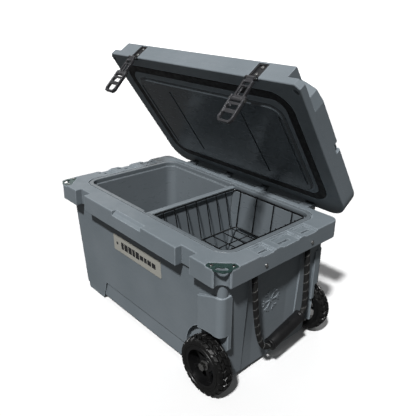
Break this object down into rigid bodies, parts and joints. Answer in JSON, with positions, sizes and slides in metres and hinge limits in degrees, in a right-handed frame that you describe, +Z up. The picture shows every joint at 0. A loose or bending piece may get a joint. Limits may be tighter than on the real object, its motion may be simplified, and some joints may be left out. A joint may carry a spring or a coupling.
{
  "type": "wheeled cool box",
  "caption": "Insulated rotomoulded cool box with a hinged latched lid, wheels at one end, rope handles, wire basket and divider.",
  "frame": {"origin": "on the floor, under the middle of the tub's rim", "axes": "+X along the length towards the wheels, +Y towards the hinge, +Z up"},
  "size_m": [0.7172, 0.4965, 0.7305],
  "materials": {
    "tub_grey": "matte moulded grey",
    "foam": "foam",
    "black_plastic": "satin",
    "latch_plastic": "satin",
    "rubber": "matte",
    "plate_steel": "polished",
    "bright_steel": "bright",
    "label_metal": "brushed champagne",
    "nylon": "satin",
    "tyre": "matte",
    "hub_plastic": "satin",
    "rope": "braided",
    "grip_plastic": "satin",
    "basket_wire": "plastic-dipped black",
    "divider_plastic": "matte grey"
  },
  "bodies": {
    "tub": {"tub_shell": "tub_grey", "tub_liner": "tub_grey", "tub_foam": "foam", "drain_sleeve": "black_plastic", "corner_plate_left": "plate_steel", "corner_plate_right": "plate_steel", "plate_screws": "bright_steel", "rope_anchors": "nylon", "anchor_screws": "bright_steel", "label_plate": "label_metal", "axle": "bright_steel", "axle_washers": "bright_steel", "axle_nuts": "bright_steel", "hinge_rod": "bright_steel"},
    "lid": {"lid_shell": "tub_grey", "lid_liner": "tub_grey", "lid_foam": "foam", "lid_gasket": "rubber", "latch_bracket_left": "black_plastic", "latch_bracket_right": "black_plastic", "bracket_screws": "bright_steel", "latch_pin_left": "bright_steel", "latch_pin_right": "bright_steel"},
    "latch_arm_left": {"latch_arm_left": "latch_plastic", "lever_pin_left": "bright_steel"},
    "latch_arm_right": {"latch_arm_right": "latch_plastic", "lever_pin_right": "bright_steel"},
    "latch_lever_left": {"latch_lever_left": "latch_plastic"},
    "latch_lever_right": {"latch_lever_right": "latch_plastic"},
    "wheel_front": {"tyre_front": "tyre", "hub_front": "hub_plastic", "bush_front": "nylon"},
    "wheel_back": {"tyre_back": "tyre", "hub_back": "hub_plastic", "bush_back": "nylon"},
    "handle_right": {"rope_right": "rope", "grip_right": "grip_plastic"},
    "handle_left": {"rope_left": "rope", "grip_left": "grip_plastic"},
    "basket": {"basket_rim": "basket_wire", "basket_base_ring": "basket_wire", "basket_long_wires": "basket_wire", "basket_cross_wires": "basket_wire"},
    "divider": {"divider": "divider_plastic"},
    "drain_plug": {"drain_plug": "black_plastic", "drain_seal": "rubber"}
  },
  "joints": [
    {"name": "lid_hinge", "type": "hinge", "parent": "tub", "child": "lid", "pos_m": [0, 0.232, 0.3356], "axis": [-1, 0, 0], "range_deg": [-55.05, 35]},
    {"name": "latch_arm_left", "type": "hinge", "parent": "lid", "child": "latch_arm_left", "pos_m": [-0.224, -0.0126, 0.70024], "axis": [-1, 0, 0], "range_deg": [0, 100]},
    {"name": "latch_lever_left", "type": "hinge", "parent": "latch_arm_left", "child": "latch_lever_left", "pos_m": [-0.224, -0.05151, 0.65859], "axis": [-1, 0, 0], "range_deg": [0, 90]},
    {"name": "latch_arm_right", "type": "hinge", "parent": "lid", "child": "latch_arm_right", "pos_m": [0.224, -0.0126, 0.70024], "axis": [-1, 0, 0], "range_deg": [0, 100]},
    {"name": "latch_lever_right", "type": "hinge", "parent": "latch_arm_right", "child": "latch_lever_right", "pos_m": [0.224, -0.05151, 0.65859], "axis": [-1, 0, 0], "range_deg": [0, 90]},
    {"name": "wheel_front_spin", "type": "hinge", "parent": "tub", "child": "wheel_front", "pos_m": [0.2867, -0.18495, 0.072], "axis": [0, 1, 0], "continuous": true},
    {"name": "wheel_back_spin", "type": "hinge", "parent": "tub", "child": "wheel_back", "pos_m": [0.2867, 0.18495, 0.072], "axis": [0, 1, 0], "continuous": true},
    {"name": "handle_right_swing", "type": "hinge", "parent": "tub", "child": "handle_right", "pos_m": [0.337, 0, 0.29], "axis": [0, -1, 0], "range_deg": [0, 90]},
    {"name": "handle_left_swing", "type": "hinge", "parent": "tub", "child": "handle_left", "pos_m": [-0.337, 0, 0.29], "axis": [0, 1, 0], "range_deg": [0, 90]},
    {"name": "basket_lift", "type": "slide", "parent": "tub", "child": "basket", "axis": [0, 0, 1], "range_m": [0, 0.08]},
    {"name": "divider_lift", "type": "slide", "parent": "tub", "child": "divider", "axis": [0, 0, 1], "range_m": [0, 0.08]},
    {"name": "drain_plug_pull", "type": "slide", "parent": "tub", "child": "drain_plug", "axis": [-1, 0, 0], "range_m": [0, 0.06]}
  ]
}
